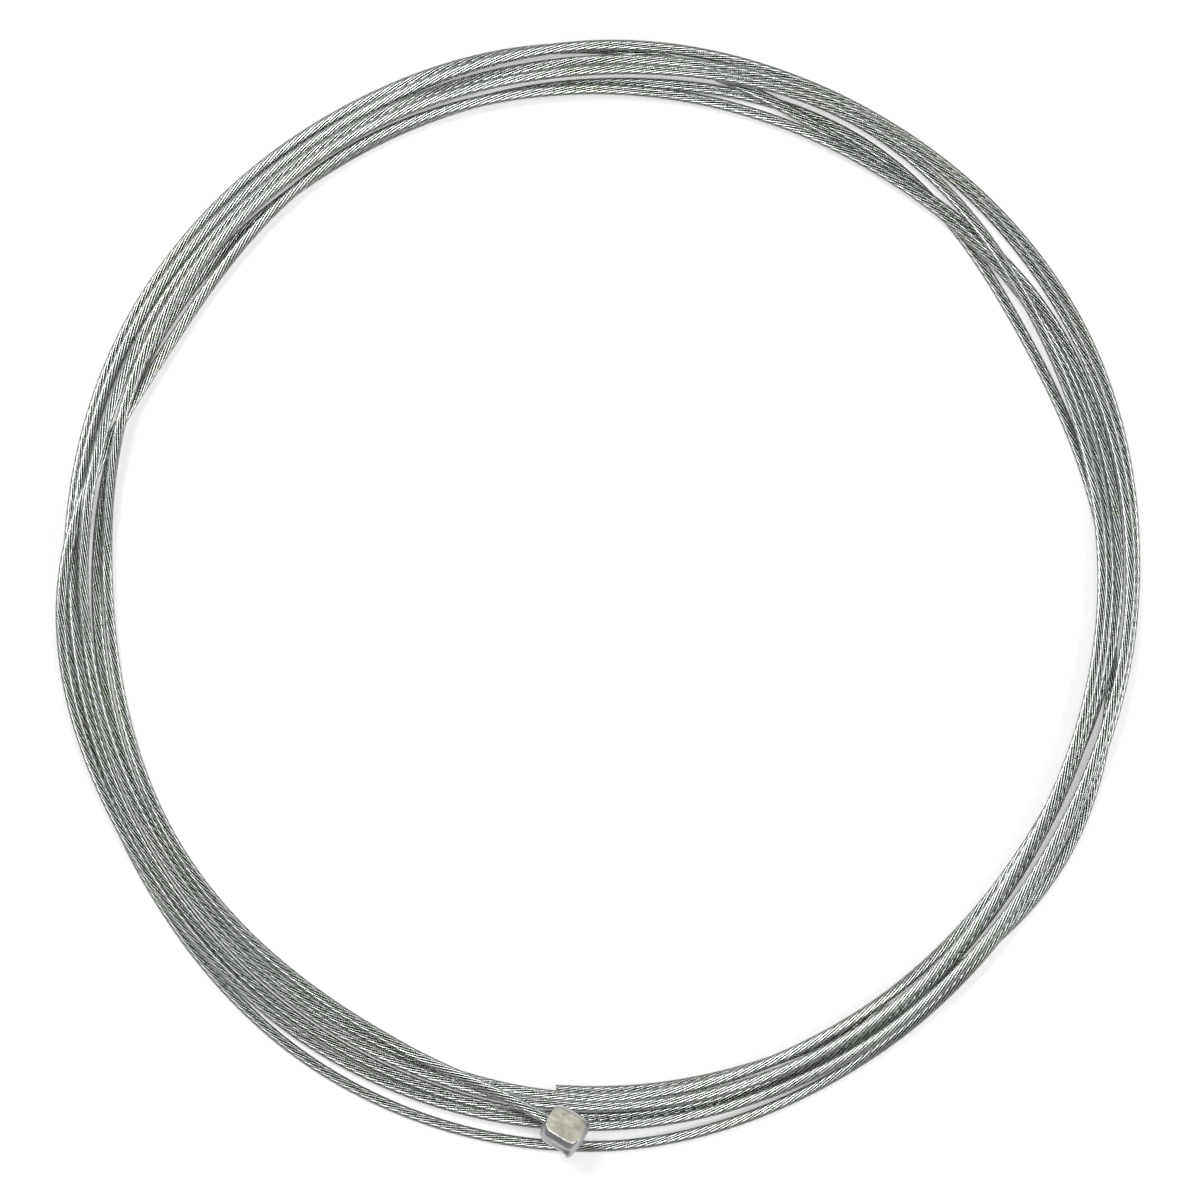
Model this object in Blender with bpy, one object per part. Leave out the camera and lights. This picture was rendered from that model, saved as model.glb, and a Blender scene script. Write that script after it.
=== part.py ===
"""Bicycle shift cable, coiled: a 1 x 19 steel strand with a cast zinc head on one end.

Metres, +Z up. The coil lies flat, with its lowest turns on z = 0.
"""
import math

import bmesh
import bpy
import numpy as np
from mathutils import Matrix, Vector

# Driving dimensions, in metres and degrees.
ROPE_DIAMETER = 0.0012
COIL_RADIUS = 0.0556
TURN_GAP = 0.00015
HEAD_DIAMETER = 0.0044
HEAD_LENGTH = 0.0043
HEAD_EDGE = 0.0002
HEAD_FLAT_DEPTH = 0.0006
HEAD_TILT = 8.0
SOCKET_DEPTH = 0.0030
SEAT_GAP = 0.0003

# The head's rope-side face: its angle round the coil, its lane, and where its axis points.
HEAD_ANGLE = 264.4
HEAD_LANE = 0.2
HEAD_HEADING = -31.0

# Route of the turns, chosen by hand: one row for each turn, with a lane every 30 degrees
# anticlockwise from +X. A lane counts rope diameters outwards from the mean radius.
STATION = 30.0
FIRST_ANGLE = 265.0
LAST_ANGLE = 245.0
ROUTE = (
    (-1.6, -1.6, -1.6, -1.6, -1.6, -1.6, -1.6, -1.6, -1.6, -2.3, -1.85, 1.1),
    (-0.8, -1.95, 0.45, -0.6, -1.15, -0.8, -1.6, -1.65, -2.1, -1.8, -2.45, -2.25),
    (-0.2, 0.9, -0.5, 2.5, 2.45, 2.05, 0.95, 1.05, 2.45, 2.6, 1.05, 0.1),
    (1.3, 2.85, 2.9, 2.75, 1.5, 1.4, 0.4, -0.05, -0.1, 0.05, -0.7, -1.7),
    (-1.05, -0.1, -1.05, -1.15, -0.9, -2.0, 1.45, 0.8, 0.9, 0.7, 0.1, -0.35),
    (0.9, 2.05, 2.45, 1.4, 0.65, 0.4, -0.55, -1.2, -1.25, -1.05, -1.3, -2.15),
    (-1.65, -0.5, 1.75, 0.5, 0.05, -0.45, -2.65, -2.65, -2.9, -1.0, -1.0, -1.0),
)

# How the curve is drawn.
STEPS_PER_TURN = 72
HUMP_STEPS = 1
RUN_STEPS = 7
ROPE_RESOLUTION = 2
HEAD_SIDES = 32


def clear_scene():
    """Removes whatever the file opened with."""
    for item in list(bpy.data.objects):
        bpy.data.objects.remove(item, do_unlink=True)


def metal(name, colour, roughness, metallic=1.0):
    """A plain metal finish."""
    finish = bpy.data.materials.new(name)
    finish.use_nodes = True
    shader = finish.node_tree.nodes["Principled BSDF"]
    shader.inputs["Base Color"].default_value = (*colour, 1.0)
    shader.inputs["Roughness"].default_value = roughness
    shader.inputs["Metallic"].default_value = metallic
    return finish


def smooth_through(values, place):
    """Value at a fractional place on a smooth curve through a list of values."""
    count = len(values)
    index = min(max(int(math.floor(place)), 0), count - 2)
    share = place - index
    before = values[max(index - 1, 0)]
    start = values[index]
    stop = values[index + 1]
    after = values[min(index + 2, count - 1)]
    return 0.5 * (2 * start + (stop - before) * share
                  + (2 * before - 5 * start + 4 * stop - after) * share ** 2
                  + (3 * start - before - 3 * stop + after) * share ** 3)


def turn_stations():
    """Angle and radius of every point on the turns."""
    lanes = [lane for row in ROUTE for lane in row]
    step = 360.0 / STEPS_PER_TURN
    first = int(round(FIRST_ANGLE / step))
    last = int(round((360.0 * (len(ROUTE) - 1) + LAST_ANGLE) / step))
    angles = np.arange(first, last + 1) * step
    lane = np.array([smooth_through(lanes, angle / STATION) for angle in angles])
    return np.radians(angles), COIL_RADIUS + lane * ROPE_DIAMETER


def needed_rise(radius, height):
    """How high each point must lie to rest on the turns that were wound before it."""
    reach = ROPE_DIAMETER + TURN_GAP
    rise = np.full_like(height, ROPE_DIAMETER / 2)
    for apart in range(1, len(ROUTE)):
        offset = apart * STEPS_PER_TURN
        if offset >= len(radius):
            break
        across = radius[offset:] - radius[:-offset]
        under = height[:-offset] + np.sqrt(np.maximum(reach ** 2 - across ** 2, 0.0))
        under = np.where(np.abs(across) < reach, under, 0.0)
        rise[offset:] = np.maximum(rise[offset:], under)
    return rise


def settle(radius):
    """Heights of the turns: a stiff wire eases over what lies under it in a long low hump."""
    height = np.full_like(radius, ROPE_DIAMETER / 2)
    for _ in range(len(ROUTE)):
        rise = needed_rise(radius, height)
        padded = np.pad(rise, HUMP_STEPS, mode="edge")
        window = 2 * HUMP_STEPS + 1
        highest = np.array([padded[place:place + window].max() for place in range(len(rise))])
        padded = np.pad(highest, HUMP_STEPS, mode="edge")
        height = np.convolve(padded, np.ones(window) / window, mode="valid")
    return height


def head_axis():
    """Direction of the head, from its rope side to its end."""
    heading = math.radians(HEAD_HEADING)
    tilt = math.radians(HEAD_TILT)
    return Vector((math.cos(heading) * math.cos(tilt), math.sin(heading) * math.cos(tilt),
                   math.sin(tilt)))


def head_seat(turns):
    """Centre of the head's rope-side face, as low as the turns under the head allow."""
    angle = math.radians(HEAD_ANGLE)
    radius = COIL_RADIUS + HEAD_LANE * ROPE_DIAMETER
    flat = Vector((radius * math.cos(angle), radius * math.sin(angle), 0.0))
    along = head_axis()
    level = Vector((along.x, along.y, 0.0)).normalized()
    side = Vector((-level.y, level.x, 0.0))
    slope = math.tan(math.radians(HEAD_TILT))
    reach = (HEAD_DIAMETER + ROPE_DIAMETER) / 2 + SEAT_GAP
    lift = 0.0
    for start, stop in zip(turns[:-1], turns[1:]):
        for share in (0.0, 0.25, 0.5, 0.75):
            point = start.lerp(stop, share)
            ahead = (point - flat).dot(level)
            across = (point - flat).dot(side)
            if abs(across) < reach and -reach < ahead < HEAD_LENGTH + reach:
                ahead = min(max(ahead, 0.0), HEAD_LENGTH)
                above = math.sqrt(reach ** 2 - across ** 2)
                lift = max(lift, point.z + above - ahead * slope)
    return flat + Vector((0.0, 0.0, lift))


def rope_route():
    """Points of the rope from its free end to the bottom of the head's socket."""
    angle, radius = turn_stations()
    height = settle(radius)
    turns = [Vector((r * math.cos(a), r * math.sin(a), z))
             for a, r, z in zip(angle, radius, height)]
    seat = head_seat(turns[:-6])
    along = head_axis()
    leave = (turns[-1] - turns[-2]).normalized()
    span = (seat - turns[-1]).length
    run = []
    for number in range(1, RUN_STEPS + 1):
        share = number / RUN_STEPS
        run.append(hermite(turns[-1], leave * span, seat, along * span, share))
    inside = seat + along * (SOCKET_DEPTH - SEAT_GAP)
    return turns + run + [inside], seat


def hermite(start, leave, stop, arrive, share):
    """Point on a smooth curve between two points with given directions."""
    a, b = share ** 2, share ** 3
    return (start * (2 * b - 3 * a + 1) + leave * (b - 2 * a + share)
            + stop * (3 * a - 2 * b) + arrive * (b - a))


def make_rope(points):
    """The strand, one round bar along its whole route."""
    curve = bpy.data.curves.new("wire_rope", "CURVE")
    curve.dimensions = "3D"
    curve.bevel_depth = ROPE_DIAMETER / 2
    curve.bevel_resolution = ROPE_RESOLUTION
    curve.use_fill_caps = True
    spline = curve.splines.new("POLY")
    spline.points.add(len(points) - 1)
    for slot, point in zip(spline.points, points):
        slot.co = (*point, 1.0)
    rope = bpy.data.objects.new("wire_rope", curve)
    rope.data.materials.append(metal("galvanised_wire", (0.60, 0.62, 0.61), 0.35))
    bpy.context.collection.objects.link(rope)


def head_profile():
    """Outline of the head's wall, from the socket's bottom round to the end face."""
    outer = HEAD_DIAMETER / 2
    bore = ROPE_DIAMETER / 2 + SEAT_GAP
    return ((0.0, SOCKET_DEPTH), (bore, SOCKET_DEPTH), (bore, 0.0), (outer - HEAD_EDGE, 0.0),
            (outer, HEAD_EDGE), (outer, HEAD_LENGTH - HEAD_EDGE),
            (outer - HEAD_EDGE, HEAD_LENGTH), (0.0, HEAD_LENGTH))


def make_head(seat):
    """The cast cylinder on the end of the rope, with its trimmed gate on top."""
    mesh = bpy.data.meshes.new("cable_head")
    form = bmesh.new()
    corners = [form.verts.new((radius, 0.0, along)) for radius, along in head_profile()]
    edges = [form.edges.new(pair) for pair in zip(corners[:-1], corners[1:])]
    bmesh.ops.spin(form, geom=corners + edges, axis=(0, 0, 1), cent=(0, 0, 0),
                   angle=2 * math.pi, steps=HEAD_SIDES, use_merge=True)
    bmesh.ops.remove_doubles(form, verts=form.verts, dist=1e-6)
    bmesh.ops.recalc_face_normals(form, faces=form.faces)
    form.to_mesh(mesh)
    form.free()
    along = head_axis()
    up = (Vector((0, 0, 1)) - along * along.z).normalized()
    side = up.cross(along)
    turn = Matrix((up, side, along)).transposed().to_4x4()
    head = bpy.data.objects.new("cable_head", mesh)
    head.data.materials.append(metal("cast_zinc", (0.55, 0.55, 0.52), 0.5))
    head.matrix_world = Matrix.Translation(seat) @ turn
    bpy.context.collection.objects.link(head)

    bpy.ops.mesh.primitive_cube_add(size=1.0)
    cutter = bpy.context.active_object
    cutter.name = "gate_cutter"
    size = 2 * HEAD_DIAMETER
    centre = Vector((HEAD_DIAMETER / 2 - HEAD_FLAT_DEPTH + size / 2, 0.0, HEAD_LENGTH / 2))
    cutter.matrix_world = head.matrix_world @ Matrix.Translation(centre) @ Matrix.Scale(size, 4)
    cutter.hide_render = True
    cutter.display_type = "WIRE"
    trim = head.modifiers.new("gate_flat", "BOOLEAN")
    trim.operation = "DIFFERENCE"
    trim.solver = "EXACT"
    trim.object = cutter


def main():
    """Builds the cable."""
    clear_scene()
    points, seat = rope_route()
    make_rope(points)
    make_head(seat)


main()
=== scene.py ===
"""Looks of the coiled shift cable: its twisted wires, its cast head and a plain studio."""
import math

import bmesh
import bpy
import numpy as np
from bpy.props import FloatProperty, FloatVectorProperty, IntProperty, PointerProperty
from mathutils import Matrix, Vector, noise


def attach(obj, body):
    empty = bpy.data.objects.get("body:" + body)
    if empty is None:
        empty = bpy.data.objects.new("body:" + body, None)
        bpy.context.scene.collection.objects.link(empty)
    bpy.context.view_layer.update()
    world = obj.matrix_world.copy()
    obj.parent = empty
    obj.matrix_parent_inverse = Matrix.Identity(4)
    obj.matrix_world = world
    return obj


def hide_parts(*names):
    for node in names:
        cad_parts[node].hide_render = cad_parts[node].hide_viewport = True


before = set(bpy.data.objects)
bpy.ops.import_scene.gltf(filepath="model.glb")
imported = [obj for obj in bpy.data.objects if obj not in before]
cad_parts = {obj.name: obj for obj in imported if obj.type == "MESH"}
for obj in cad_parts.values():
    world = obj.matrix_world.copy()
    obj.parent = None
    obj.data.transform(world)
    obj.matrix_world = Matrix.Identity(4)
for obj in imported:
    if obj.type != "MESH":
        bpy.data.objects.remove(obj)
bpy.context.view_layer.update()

bl_info = {
    "name": "Shift cable",
    "version": (1, 0, 0),
    "blender": (4, 5, 0),
    "location": "View3D > Sidebar > Shift cable",
    "description": "Dresses a coiled shift cable with its wires, its cast head and a studio",
    "category": "Add Mesh",
}

MM = 0.001

# The rope's route, as the construction has it. Lanes count rope diameters outwards from
# the mean radius, one row for each turn and a lane every 30 degrees from +X.
ROPE_DIAMETER = 0.0012
COIL_RADIUS = 0.0556
TURN_GAP = 0.00015
HEAD_DIAMETER = 0.0044
HEAD_LENGTH = 0.0043
HEAD_FLAT_DEPTH = 0.0006
HEAD_TILT = 8.0
SEAT_GAP = 0.0003
SOCKET_DEPTH = 0.0030
HEAD_ANGLE = 264.4
HEAD_LANE = 0.2
HEAD_HEADING = -31.0
STATION = 30.0
FIRST_ANGLE = 265.0
LAST_ANGLE = 245.0
STEPS_PER_TURN = 72
HUMP_STEPS = 1
RUN_STEPS = 7
ROUTE = (
    (-1.6, -1.6, -1.6, -1.6, -1.6, -1.6, -1.6, -1.6, -1.6, -2.3, -1.85, 1.1),
    (-0.8, -1.95, 0.45, -0.6, -1.15, -0.8, -1.6, -1.65, -2.1, -1.8, -2.45, -2.25),
    (-0.2, 0.9, -0.5, 2.5, 2.45, 2.05, 0.95, 1.05, 2.45, 2.6, 1.05, 0.1),
    (1.3, 2.85, 2.9, 2.75, 1.5, 1.4, 0.4, -0.05, -0.1, 0.05, -0.7, -1.7),
    (-1.05, -0.1, -1.05, -1.15, -0.9, -2.0, 1.45, 0.8, 0.9, 0.7, 0.1, -0.35),
    (0.9, 2.05, 2.45, 1.4, 0.65, 0.4, -0.55, -1.2, -1.25, -1.05, -1.3, -2.15),
    (-1.65, -0.5, 1.75, 0.5, 0.05, -0.45, -2.65, -2.65, -2.9, -1.0, -1.0, -1.0),
)

# The last turn's points that the head may lie close to, because they lead into it.
LEAD_POINTS = 6

# Grooves and shoulders of the wires, as shares of the strand's radius, and the turn of the
# outline in one lay length: negative makes the lay left-handed.
GROOVE_REACH = 0.74
SHOULDER_REACH = 0.99
POINTS_PER_WIRE = 3
LAY_TURN = -2 * math.pi
SHARP_WIRE = math.radians(70)

# The casting's finish. Turns go round its axis from straight up; lengths are in metres.
HEAD_AROUND = 96
RIM = 0.0010
RIM_STEPS = 6
SIDE_STEPS = 16
BORE_PLAY = 0.00001
DISH_DEPTH = 0.00009
SHARP_CAST = math.radians(32)
GATE_TURN = math.radians(22.0)
SEAM_TURN = math.radians(300.0)
SEAM_WIDTH = 0.07
SEAM_RISE = 0.00007
SECOND_SEAM = 0.35
SECOND_SEAM_WIDTH = 0.05
SECOND_SEAM_SHARE = 0.6
BURR_TURN = math.radians(285.0)
BURR_WIDTH = 0.28
BURR_LENGTH = 0.00035
BURR_RISE = 0.0003
GRAIN_SCALE = 2200.0
GATE_GRAIN = 0.00003
CAST_GRAIN = 0.000012

# The photograph's frame: its scale and where the coil's middle lies in it, in pixels.
PHOTO_SIZE = 1200
PIXELS_PER_MM = 9.35
COIL_MIDDLE = (599.0, 597.0)
CAMERA_HEIGHT = 1.0
SENSOR = 36.0

# The studio: how much the floor glows for the camera alone, and each lamp's place, side
# and power.
FLOOR_SIZE = 3.0
FLOOR_DROP = 0.00005
FLOOR_GLOW = 0.40
WORLD_LIGHT = 0.18
LAMPS = (
    ("key_lamp", (-0.24, 0.28, 0.72), 0.24, 2.7),
    ("fill_lamp", (0.32, -0.2, 0.68), 0.24, 1.8),
    ("top_lamp", (0.08, 0.1, 0.9), 0.12, 0.8),
)


class CableLooks(bpy.types.PropertyGroup):
    """Sizes and colours of the strand and its head."""
    lay_length: FloatProperty(
        name="Lay length", description="Length in which a wire goes once round the strand",
        default=0.0138, min=0.004, unit="LENGTH")
    outer_wires: IntProperty(
        name="Outer wires", description="Wires in the strand's outer layer",
        default=12, min=5, max=16)
    ring_step: FloatProperty(
        name="Ring step", description="Spacing of the mesh rings along the strand",
        default=0.00078, min=0.0005, unit="LENGTH")
    wire_colour: FloatVectorProperty(
        name="Wire colour", description="Zinc plating on the wires",
        subtype="COLOR", size=3, min=0.0, max=1.0, default=(0.84, 0.83, 0.88))
    # The groove colour is painted shade: a near-black tone laid into the grooves between the
    # wires.
    groove_shade_colour: FloatVectorProperty(
        name="Groove colour", description="Painted shade between the wires",
        subtype="COLOR", size=3, min=0.0, max=1.0, default=(0.015, 0.02, 0.015))
    head_colour: FloatVectorProperty(
        name="Head colour", description="Cast zinc of the head",
        subtype="COLOR", size=3, min=0.0, max=1.0, default=(0.72, 0.72, 0.75))
    gate_colour: FloatVectorProperty(
        name="Gate colour", description="Rough trimmed gate on the head",
        subtype="COLOR", size=3, min=0.0, max=1.0, default=(0.74, 0.73, 0.64))


def smooth_through(values, place):
    """Value at a fractional place on a smooth curve through a list of values."""
    count = len(values)
    index = min(max(int(math.floor(place)), 0), count - 2)
    share = place - index
    before = values[max(index - 1, 0)]
    start = values[index]
    stop = values[index + 1]
    after = values[min(index + 2, count - 1)]
    return 0.5 * (2 * start + (stop - before) * share
                  + (2 * before - 5 * start + 4 * stop - after) * share ** 2
                  + (3 * start - before - 3 * stop + after) * share ** 3)


def turn_stations():
    """Angle and radius of every point on the turns."""
    lanes = [lane for row in ROUTE for lane in row]
    step = 360.0 / STEPS_PER_TURN
    first = int(round(FIRST_ANGLE / step))
    last = int(round((360.0 * (len(ROUTE) - 1) + LAST_ANGLE) / step))
    angles = np.arange(first, last + 1) * step
    lane = np.array([smooth_through(lanes, angle / STATION) for angle in angles])
    return np.radians(angles), COIL_RADIUS + lane * ROPE_DIAMETER


def needed_rise(radius, height):
    """How high each point must lie to rest on the turns that were wound before it."""
    reach = ROPE_DIAMETER + TURN_GAP
    rise = np.full_like(height, ROPE_DIAMETER / 2)
    for apart in range(1, len(ROUTE)):
        offset = apart * STEPS_PER_TURN
        if offset >= len(radius):
            break
        across = radius[offset:] - radius[:-offset]
        under = height[:-offset] + np.sqrt(np.maximum(reach ** 2 - across ** 2, 0.0))
        under = np.where(np.abs(across) < reach, under, 0.0)
        rise[offset:] = np.maximum(rise[offset:], under)
    return rise


def settle(radius):
    """Heights of the turns: each turn eases over what lies under it in a short hump."""
    height = np.full_like(radius, ROPE_DIAMETER / 2)
    for _ in range(len(ROUTE)):
        rise = needed_rise(radius, height)
        padded = np.pad(rise, HUMP_STEPS, mode="edge")
        window = 2 * HUMP_STEPS + 1
        highest = np.array([padded[place:place + window].max() for place in range(len(rise))])
        padded = np.pad(highest, HUMP_STEPS, mode="edge")
        height = np.convolve(padded, np.ones(window) / window, mode="valid")
    return height


def head_axis():
    """Direction of the head, from its rope side to its end."""
    heading = math.radians(HEAD_HEADING)
    tilt = math.radians(HEAD_TILT)
    return Vector((math.cos(heading) * math.cos(tilt), math.sin(heading) * math.cos(tilt),
                   math.sin(tilt)))


def head_seat(turns):
    """Centre of the head's rope-side face, as low as the turns under the head allow."""
    angle = math.radians(HEAD_ANGLE)
    radius = COIL_RADIUS + HEAD_LANE * ROPE_DIAMETER
    flat = Vector((radius * math.cos(angle), radius * math.sin(angle), 0.0))
    along = head_axis()
    level = Vector((along.x, along.y, 0.0)).normalized()
    side = Vector((-level.y, level.x, 0.0))
    slope = math.tan(math.radians(HEAD_TILT))
    reach = (HEAD_DIAMETER + ROPE_DIAMETER) / 2 + SEAT_GAP
    lift = 0.0
    for start, stop in zip(turns[:-1], turns[1:]):
        for share in (0.0, 0.25, 0.5, 0.75):
            point = start.lerp(stop, share)
            ahead = (point - flat).dot(level)
            across = (point - flat).dot(side)
            if abs(across) < reach and -reach < ahead < HEAD_LENGTH + reach:
                ahead = min(max(ahead, 0.0), HEAD_LENGTH)
                above = math.sqrt(reach ** 2 - across ** 2)
                lift = max(lift, point.z + above - ahead * slope)
    return flat + Vector((0.0, 0.0, lift))


def hermite(start, leave, stop, arrive, share):
    """Point on a smooth curve between two points with given directions."""
    a, b = share ** 2, share ** 3
    return (start * (2 * b - 3 * a + 1) + leave * (b - 2 * a + share)
            + stop * (3 * a - 2 * b) + arrive * (b - a))


def rope_route():
    """Points of the rope from its free end to the bottom of the head's socket."""
    angle, radius = turn_stations()
    height = settle(radius)
    turns = [Vector((r * math.cos(a), r * math.sin(a), z))
             for a, r, z in zip(angle, radius, height)]
    seat = head_seat(turns[:-LEAD_POINTS])
    along = head_axis()
    leave = (turns[-1] - turns[-2]).normalized()
    span = (seat - turns[-1]).length
    run = [hermite(turns[-1], leave * span, seat, along * span, number / RUN_STEPS)
           for number in range(1, RUN_STEPS + 1)]
    return turns + run + [seat + along * (SOCKET_DEPTH - SEAT_GAP)], seat


def rings_along(points, step):
    """The same route with a point every step, on a smooth curve through its points."""
    route = np.array([list(point) for point in points])
    lengths = np.concatenate([[0.0], np.cumsum(np.linalg.norm(np.diff(route, axis=0), axis=1))])
    count = int(lengths[-1] / step)
    places = np.interp(np.linspace(0.0, lengths[-1], count), lengths, np.arange(len(route)))
    axes = [route[:, axis].tolist() for axis in range(3)]
    return [Vector([smooth_through(values, place) for values in axes]) for place in places]


def link(tree, start, stop):
    """Joins an output to an input."""
    tree.links.new(start, stop)


def maths(tree, operation, first, second=None):
    """A Math node with its two inputs linked or set."""
    node = tree.nodes.new("ShaderNodeMath")
    node.operation = operation
    for slot, value in zip(node.inputs, (first, second)):
        if value is None:
            continue
        if isinstance(value, (int, float)):
            slot.default_value = value
        else:
            tree.links.new(value, slot)
    return node.outputs[0]


def strand_tree(material):
    """Geometry nodes that lay a layer of round wires round a path with a given lay."""
    tree = bpy.data.node_groups.new("twisted_strand", "GeometryNodeTree")
    face = tree.interface
    face.new_socket("Path", in_out="INPUT", socket_type="NodeSocketGeometry")
    face.new_socket("Diameter", in_out="INPUT", socket_type="NodeSocketFloat")
    face.new_socket("Lay length", in_out="INPUT", socket_type="NodeSocketFloat")
    face.new_socket("Wires", in_out="INPUT", socket_type="NodeSocketInt")
    face.new_socket("Strand", in_out="OUTPUT", socket_type="NodeSocketGeometry")
    inputs = tree.nodes.new("NodeGroupInput")
    output = tree.nodes.new("NodeGroupOutput")

    # Outline of the strand: each wire has a groove and two shoulders on its own round.
    circle = tree.nodes.new("GeometryNodeCurvePrimitiveCircle")
    link(tree, maths(tree, "MULTIPLY", inputs.outputs["Wires"], POINTS_PER_WIRE),
         circle.inputs["Resolution"])
    circle.inputs["Radius"].default_value = 1.0
    index = tree.nodes.new("GeometryNodeInputIndex").outputs[0]
    crest = maths(tree, "MINIMUM", maths(tree, "MODULO", index, POINTS_PER_WIRE), 1.0)
    reach = maths(tree, "ADD", GROOVE_REACH,
                  maths(tree, "MULTIPLY", crest, SHOULDER_REACH - GROOVE_REACH))
    radius = maths(tree, "MULTIPLY", maths(tree, "DIVIDE", inputs.outputs["Diameter"], 2.0),
                   reach)
    place = tree.nodes.new("GeometryNodeSetPosition")
    scale = tree.nodes.new("ShaderNodeVectorMath")
    scale.operation = "SCALE"
    link(tree, tree.nodes.new("GeometryNodeInputPosition").outputs[0], scale.inputs[0])
    link(tree, radius, scale.inputs["Scale"])
    link(tree, circle.outputs[0], place.inputs["Geometry"])
    link(tree, scale.outputs[0], place.inputs["Position"])
    keep = store(tree, place.outputs[0], "crest", crest)

    # The path turns the outline once in every lay length, left-handed.
    along = tree.nodes.new("GeometryNodeSplineParameter").outputs["Length"]
    turn = maths(tree, "MULTIPLY", maths(tree, "DIVIDE", along, inputs.outputs["Lay length"]),
                 LAY_TURN)
    tilt = tree.nodes.new("GeometryNodeSetCurveTilt")
    link(tree, inputs.outputs["Path"], tilt.inputs["Curve"])
    link(tree, turn, tilt.inputs["Tilt"])
    sweep = tree.nodes.new("GeometryNodeCurveToMesh")
    link(tree, tilt.outputs[0], sweep.inputs["Curve"])
    link(tree, keep, sweep.inputs["Profile Curve"])
    sweep.inputs["Fill Caps"].default_value = True
    realize = tree.nodes.new("GeometryNodeRealizeInstances")
    link(tree, sweep.outputs[0], realize.inputs[0])
    finish = tree.nodes.new("GeometryNodeSetMaterial")
    finish.inputs["Material"].default_value = material
    link(tree, realize.outputs[0], finish.inputs[0])
    link(tree, finish.outputs[0], output.inputs[0])
    return tree


def store(tree, geometry, name, value):
    """Keeps a number on the points of a curve."""
    node = tree.nodes.new("GeometryNodeStoreNamedAttribute")
    node.data_type = "FLOAT"
    node.domain = "POINT"
    node.inputs["Name"].default_value = name
    link(tree, geometry, node.inputs["Geometry"])
    link(tree, value, node.inputs["Value"])
    return node.outputs[0]


def new_material(name):
    """An empty node material with its shader."""
    material = bpy.data.materials.new(name)
    material.use_nodes = True
    return material, material.node_tree, material.node_tree.nodes["Principled BSDF"]


def attribute(tree, name):
    """A number kept on the mesh."""
    node = tree.nodes.new("ShaderNodeAttribute")
    node.attribute_name = name
    return node.outputs["Fac"]


def blend_colours(tree, share, first, second):
    """Two colours mixed by a share; each is a colour or a link."""
    node = tree.nodes.new("ShaderNodeMix")
    node.data_type = "RGBA"
    link(tree, share, node.inputs["Factor"])
    for slot, value in ((node.inputs["A"], first), (node.inputs["B"], second)):
        if isinstance(value, bpy.types.NodeSocket):
            link(tree, value, slot)
        else:
            slot.default_value = (*value, 1.0)
    return node.outputs["Result"]


def mapped(tree, value, low, high, start, stop):
    """A number carried from one range to another."""
    node = tree.nodes.new("ShaderNodeMapRange")
    link(tree, value, node.inputs["Value"])
    for name, number in (("From Min", low), ("From Max", high), ("To Min", start),
                         ("To Max", stop)):
        node.inputs[name].default_value = number
    return node.outputs["Result"]


def speckle(tree, scale, detail=3.0):
    """Noise on the object's own coordinates."""
    node = tree.nodes.new("ShaderNodeTexNoise")
    place = tree.nodes.new("ShaderNodeTexCoord")
    link(tree, place.outputs["Object"], node.inputs["Vector"])
    node.inputs["Scale"].default_value = scale
    node.inputs["Detail"].default_value = detail
    return node.outputs["Fac"]


def bumped(tree, shader, height, strength, distance):
    """Fine relief."""
    node = tree.nodes.new("ShaderNodeBump")
    node.inputs["Strength"].default_value = strength
    node.inputs["Distance"].default_value = distance
    link(tree, height, node.inputs["Height"])
    link(tree, node.outputs[0], shader.inputs["Normal"])


def wire_material(looks):
    """Zinc plated wire, with painted shade in the grooves between the wires, and patchy along
    the strand.
    """
    material, tree, shader = new_material("plated_wire")
    # Painted shade: points in the grooves between the wires are mixed towards the near-black
    # groove colour, and the shoulders keep the plating.
    groove = mapped(tree, attribute(tree, "crest"), 0.25, 1.0, 0.0, 1.0)
    patch = mapped(tree, speckle(tree, 90.0), 0.35, 0.65, 0.0, 1.0)
    warm = blend_colours(tree, patch, (0.66, 0.70, 0.68), (0.68, 0.73, 0.62))
    worn = mapped(tree, speckle(tree, 1500.0, 4.0), 0.4, 0.7, 0.0, 1.0)
    plated = blend_colours(tree, worn, warm, tuple(looks.wire_colour))
    colour = blend_colours(tree, groove, tuple(looks.groove_shade_colour), plated)
    link(tree, colour, shader.inputs["Base Color"])
    shader.inputs["Metallic"].default_value = 1.0
    link(tree, mapped(tree, worn, 0.0, 1.0, 0.26, 0.34), shader.inputs["Roughness"])
    return material


def head_material(looks):
    """As-cast zinc, with a rough beige patch where the gate was trimmed."""
    material, tree, shader = new_material("cast_zinc_head")
    gate = attribute(tree, "gate")
    mottle = mapped(tree, speckle(tree, 900.0, 5.0), 0.3, 0.7, 0.0, 1.0)
    cast = blend_colours(tree, mottle, (0.50, 0.50, 0.52), tuple(looks.head_colour))
    trimmed = blend_colours(tree, mottle, (0.44, 0.43, 0.37), tuple(looks.gate_colour))
    link(tree, blend_colours(tree, gate, cast, trimmed), shader.inputs["Base Color"])
    shader.inputs["Metallic"].default_value = 0.85
    link(tree, mapped(tree, gate, 0.0, 1.0, 0.30, 0.62), shader.inputs["Roughness"])
    bumped(tree, shader, speckle(tree, 1400.0, 6.0), 0.5, 0.00006)
    return material


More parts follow.
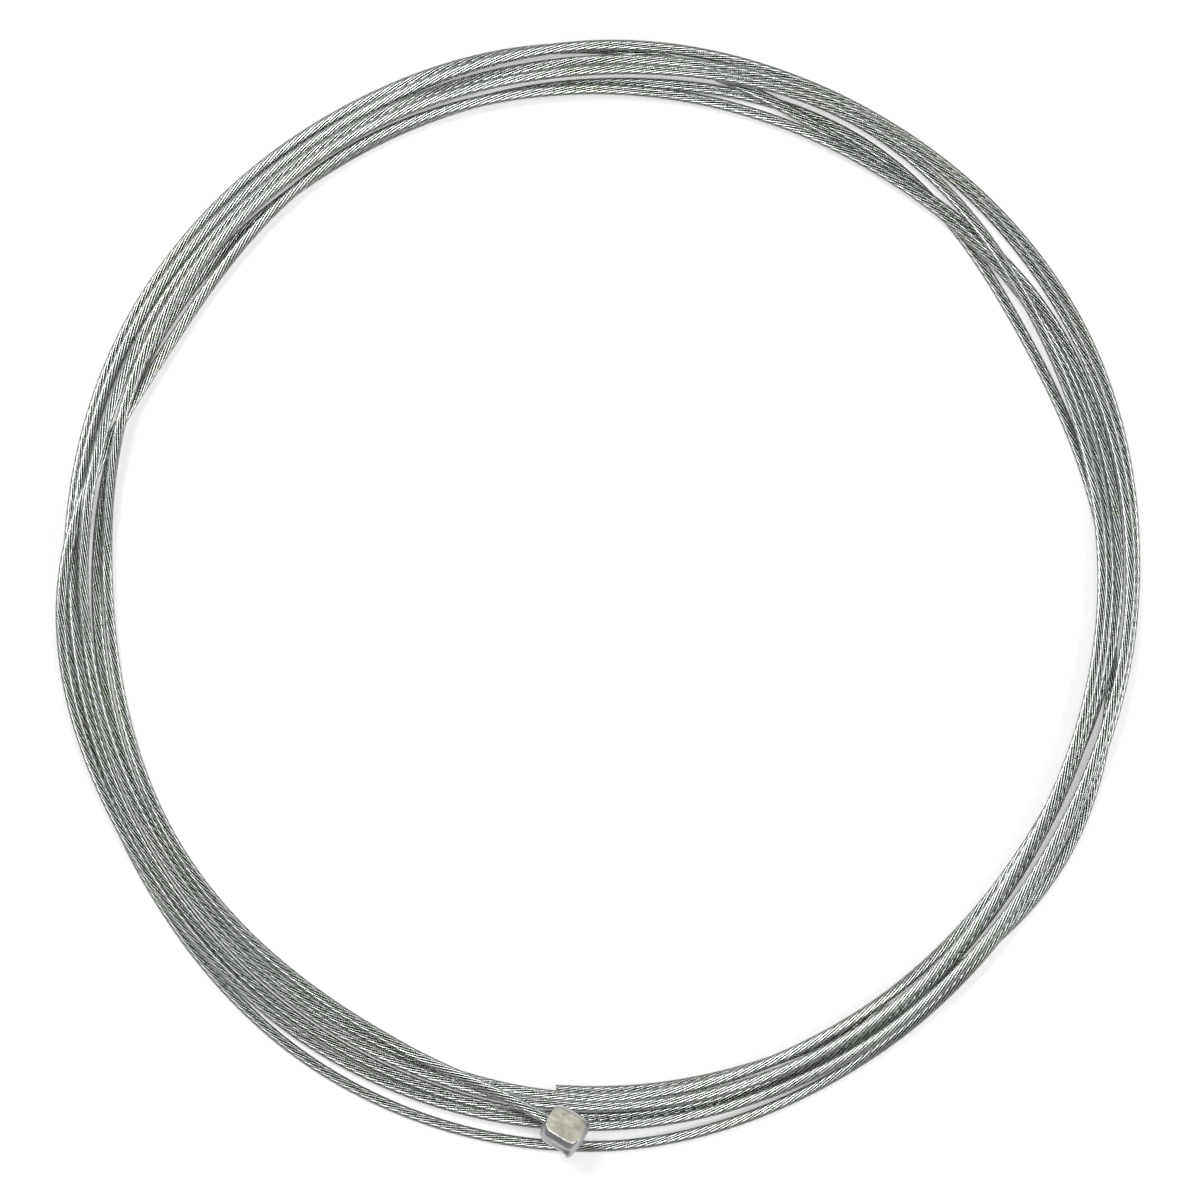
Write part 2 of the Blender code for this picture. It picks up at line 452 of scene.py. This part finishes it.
def make_strand(looks):
    """The twisted wires along the whole route."""
    points, _ = rope_route()
    rings = rings_along(points, looks.ring_step)
    curve = bpy.data.curves.new("strand_path", "CURVE")
    curve.dimensions = "3D"
    curve.twist_mode = "Z_UP"
    spline = curve.splines.new("POLY")
    spline.points.add(len(rings) - 1)
    for slot, point in zip(spline.points, rings):
        slot.co = (*point, 1.0)
    path = bpy.data.objects.new("strand_path", curve)
    bpy.context.collection.objects.link(path)
    tree = strand_tree(wire_material(looks))
    modifier = path.modifiers.new("strand", "NODES")
    modifier.node_group = tree
    wanted = {"Diameter": ROPE_DIAMETER, "Lay length": looks.lay_length,
              "Wires": looks.outer_wires}
    for item in tree.interface.items_tree:
        if item.in_out == "INPUT" and item.name in wanted:
            modifier[item.identifier] = wanted[item.name]
    graph = bpy.context.evaluated_depsgraph_get()
    mesh = bpy.data.meshes.new_from_object(path.evaluated_get(graph))
    bpy.data.objects.remove(path, do_unlink=True)
    mesh.name = "twisted_wires"
    mesh.shade_smooth()
    mesh.set_sharp_from_angle(angle=SHARP_WIRE)
    strand = bpy.data.objects.new("twisted_wires", mesh)
    bpy.context.collection.objects.link(strand)
    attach(strand, "root")
    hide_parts("wire_rope")


def head_outline():
    """Stations along the head: distance from the rope side, share of the full radius."""
    full = HEAD_DIAMETER / 2
    bore = (ROPE_DIAMETER / 2 + BORE_PLAY) / full
    rim = RIM / full
    rows = [(SOCKET_DEPTH / 2, 0.0), (SOCKET_DEPTH / 2, bore), (0.0002, bore),
            (0.0, bore + 0.03), (0.00005, bore + 0.09), (0.00002, 0.48)]
    quarter = [math.pi / 2 * number / RIM_STEPS for number in range(RIM_STEPS + 1)]
    rows += [(RIM * (1 - math.cos(turn)), 1 - rim * (1 - math.sin(turn))) for turn in quarter]
    rows += [(RIM + (HEAD_LENGTH - 2 * RIM) * number / SIDE_STEPS, 1.0)
             for number in range(1, SIDE_STEPS)]
    rows += [(HEAD_LENGTH - RIM * (1 - math.sin(turn)), 1 - rim * (1 - math.cos(turn)))
             for turn in quarter]
    dished = HEAD_LENGTH - DISH_DEPTH
    return rows + [(HEAD_LENGTH, 0.52), (dished, 0.46), (dished, 0.25), (dished, 0.0)]


def head_point(seat, distance, share, turn):
    """A point on the casting, and 1 when it lies on the trimmed gate or else 0."""
    along = head_axis()
    up = (Vector((0, 0, 1)) - along * along.z).normalized()
    outwards = up * math.cos(turn) + up.cross(along) * math.sin(turn)
    full = HEAD_DIAMETER / 2
    radius = full * share
    flat = full - HEAD_FLAT_DEPTH
    off = math.cos(turn - GATE_TURN)
    cut = 1.0 if off > 0 and radius * off > flat else 0.0
    if cut:
        radius = flat / off
    if share > 0.9:
        seam = math.exp(-((turn - SEAM_TURN) / SEAM_WIDTH) ** 2)
        second = math.exp(-((turn - SEAM_TURN - SECOND_SEAM) / SECOND_SEAM_WIDTH) ** 2)
        seam += SECOND_SEAM_SHARE * second
        radius += SEAM_RISE * seam * (0.5 + distance / HEAD_LENGTH)
    spot = seat + along * distance + outwards * radius
    if share > 0.5:
        grain = GATE_GRAIN if cut else CAST_GRAIN
        spot += outwards * noise.noise(spot * GRAIN_SCALE) * grain
    if distance > HEAD_LENGTH - RIM:
        burr = math.exp(-((turn - BURR_TURN) / BURR_WIDTH) ** 2) * max(share - 0.7, 0.0) / 0.3
        spot += along * BURR_LENGTH * burr + outwards * BURR_RISE * burr
    return spot, cut


def make_head(looks):
    """The casting: a cylinder with a trimmed gate, a parting seam and a small burr."""
    _, seat = rope_route()
    form = bmesh.new()
    gate = form.verts.layers.float.new("gate")
    rings = []
    for distance, share in head_outline():
        if share == 0.0:
            rings.append([form.verts.new(seat + head_axis() * distance)])
            continue
        ring = []
        for number in range(HEAD_AROUND):
            turn = 2 * math.pi * number / HEAD_AROUND
            spot, cut = head_point(seat, distance, share, turn)
            vert = form.verts.new(spot)
            vert[gate] = cut
            ring.append(vert)
        rings.append(ring)
    for first, second in zip(rings[:-1], rings[1:]):
        for number in range(HEAD_AROUND):
            after = (number + 1) % HEAD_AROUND
            if len(first) == 1:
                form.faces.new((first[0], second[number], second[after]))
            elif len(second) == 1:
                form.faces.new((first[number], second[0], first[after]))
            else:
                form.faces.new((first[number], second[number], second[after], first[after]))
    bmesh.ops.recalc_face_normals(form, faces=form.faces)
    mesh = bpy.data.meshes.new("cast_head")
    form.to_mesh(mesh)
    form.free()
    mesh.shade_smooth()
    mesh.set_sharp_from_angle(angle=SHARP_CAST)
    mesh.materials.append(head_material(looks))
    head = bpy.data.objects.new("cast_head", mesh)
    bpy.context.collection.objects.link(head)
    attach(head, "root")
    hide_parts("cable_head")


def make_floor():
    """A wide pale floor that reads as white and keeps a soft shadow."""
    bpy.ops.mesh.primitive_plane_add(size=FLOOR_SIZE, location=(0, 0, -FLOOR_DROP))
    floor = bpy.context.active_object
    floor.name = "studio_floor"
    material, tree, shader = new_material("white_floor")
    shader.inputs["Base Color"].default_value = (0.9, 0.9, 0.9, 1.0)
    shader.inputs["Roughness"].default_value = 0.9
    shader.inputs["Specular IOR Level"].default_value = 0.0
    shader.inputs["Emission Color"].default_value = (1.0, 1.0, 1.0, 1.0)
    path = tree.nodes.new("ShaderNodeLightPath")
    link(tree, maths(tree, "MULTIPLY", path.outputs["Is Camera Ray"], FLOOR_GLOW),
         shader.inputs["Emission Strength"])
    floor.data.materials.append(material)


def make_lamp(name, place, size, power):
    """A square soft lamp that points at the coil."""
    lamp = bpy.data.lights.new(name, "AREA")
    lamp.size = size
    lamp.energy = power
    item = bpy.data.objects.new(name, lamp)
    item.location = place
    item.rotation_euler = (-Vector(place)).to_track_quat("-Z", "Y").to_euler()
    bpy.context.collection.objects.link(item)


def make_camera():
    """A long lens straight above the coil, framed as in the photograph."""
    lens = bpy.data.cameras.new("photo_camera")
    camera = bpy.data.objects.new("photo_camera", lens)
    middle = PHOTO_SIZE / 2
    camera.location = ((middle - COIL_MIDDLE[0]) / PIXELS_PER_MM * MM,
                       (COIL_MIDDLE[1] - middle) / PIXELS_PER_MM * MM, CAMERA_HEIGHT)
    lens.sensor_width = SENSOR
    lens.lens = SENSOR * CAMERA_HEIGHT / (PHOTO_SIZE / PIXELS_PER_MM * MM)
    lens.clip_start = 0.01
    bpy.context.collection.objects.link(camera)
    bpy.context.scene.camera = camera


class CABLE_OT_strand(bpy.types.Operator):
    """Lay the twisted wires along the coil"""
    bl_idname = "cable.strand"
    bl_label = "Strand"

    def execute(self, context):
        make_strand(context.scene.cable_looks)
        return {"FINISHED"}


class CABLE_OT_head(bpy.types.Operator):
    """Set the cast head on the strand's end"""
    bl_idname = "cable.head"
    bl_label = "Head"

    def execute(self, context):
        make_head(context.scene.cable_looks)
        return {"FINISHED"}


class CABLE_OT_stage(bpy.types.Operator):
    """Set the floor, the lamps and the camera"""
    bl_idname = "cable.stage"
    bl_label = "Studio"

    def execute(self, context):
        make_floor()
        for lamp in LAMPS:
            make_lamp(*lamp)
        make_camera()
        world = bpy.data.worlds.new("studio_light")
        world.use_nodes = True
        back = world.node_tree.nodes["Background"]
        back.inputs["Color"].default_value = (1.0, 1.0, 1.0, 1.0)
        back.inputs["Strength"].default_value = WORLD_LIGHT
        context.scene.world = world
        context.scene.view_settings.view_transform = "Standard"
        return {"FINISHED"}


class CABLE_PT_panel(bpy.types.Panel):
    """Lists the steps in the sidebar"""
    bl_idname = "CABLE_PT_panel"
    bl_label = "Shift cable"
    bl_space_type = "VIEW_3D"
    bl_region_type = "UI"
    bl_category = "Shift cable"

    def draw(self, context):
        looks = context.scene.cable_looks
        for name in looks.__annotations__:
            self.layout.prop(looks, name)
        for name in ("cable.stage", "cable.strand", "cable.head"):
            self.layout.operator(name)


CLASSES = (CableLooks, CABLE_OT_strand, CABLE_OT_head, CABLE_OT_stage, CABLE_PT_panel)


def register():
    """Adds the classes and the scene's settings."""
    for item in CLASSES:
        bpy.utils.register_class(item)
    bpy.types.Scene.cable_looks = PointerProperty(type=CableLooks)


def unregister():
    """Takes them away again."""
    del bpy.types.Scene.cable_looks
    for item in reversed(CLASSES):
        bpy.utils.unregister_class(item)


def main():
    """Builds the looks."""
    register()
    bpy.ops.cable.stage()
    bpy.ops.cable.strand()
    bpy.ops.cable.head()


if __name__ == "__main__":
    main()
